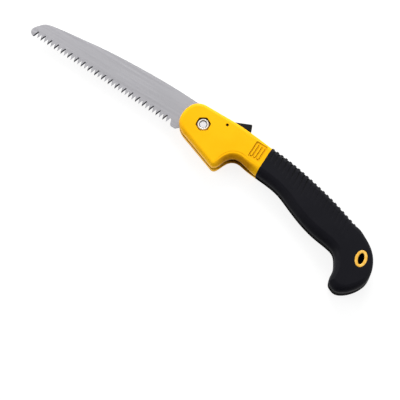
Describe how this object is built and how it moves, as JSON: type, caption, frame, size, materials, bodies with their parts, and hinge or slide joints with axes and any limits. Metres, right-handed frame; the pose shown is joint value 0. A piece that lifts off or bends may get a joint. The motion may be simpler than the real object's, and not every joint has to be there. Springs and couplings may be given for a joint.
{
  "type": "folding pruning saw",
  "caption": "Folding pruning saw with a tapered toothed blade, a hard yellow head, a hooked ribbed rubber grip, a thumb lever lock and a lanyard eyelet.",
  "frame": {"origin": "middle of the saw's box, on the flat it rests on when laid on its right side, open", "axes": "+X from the blade tip towards the butt of the handle, +Y from the toothed side towards the back, +Z out of the left side"},
  "size_m": [0.418, 0.101, 0.022],
  "materials": {
    "blade_steel": "satin ground",
    "yellow_shell": "satin moulded",
    "black_rubber": "matt moulded",
    "zinc_steel": "bright zinc plated",
    "black_plastic": "satin moulded",
    "dark_steel": "oiled",
    "spring_steel": "drawn wire",
    "golden_plastic": "gloss moulded"
  },
  "bodies": {
    "handle": {"left_cover": "yellow_shell", "right_cover": "yellow_shell", "left_grip": "black_rubber", "right_grip": "black_rubber", "pivot_bolt": "zinc_steel", "pivot_nut": "zinc_steel", "bolt_washer": "zinc_steel", "pivot_bushing": "zinc_steel", "left_thrust_washer": "zinc_steel", "right_thrust_washer": "zinc_steel", "lever_pin": "dark_steel", "lever_spring": "spring_steel", "lanyard_eyelet": "golden_plastic", "core_screw_1": "zinc_steel", "core_screw_2": "zinc_steel", "core_screw_3": "zinc_steel", "core_screw_4": "zinc_steel", "core_screw_5": "zinc_steel"},
    "blade": {"blade": "blade_steel"},
    "lock_lever": {"lock_lever": "black_plastic"}
  },
  "joints": [
    {"name": "blade_fold", "type": "hinge", "parent": "handle", "child": "blade", "pos_m": [-0.00641, 0.0233, 0.011], "axis": [0, 0, 1], "range_deg": [0, 165]},
    {"name": "lever_press", "type": "hinge", "parent": "handle", "child": "lock_lever", "pos_m": [0.01409, 0.0351, 0.011], "axis": [0, 0, -1], "range_deg": [-6, 8], "stiffness_Nm_per_rad": 0.05, "springref_deg": -17.19, "deforming": ["lever_spring"]}
  ]
}
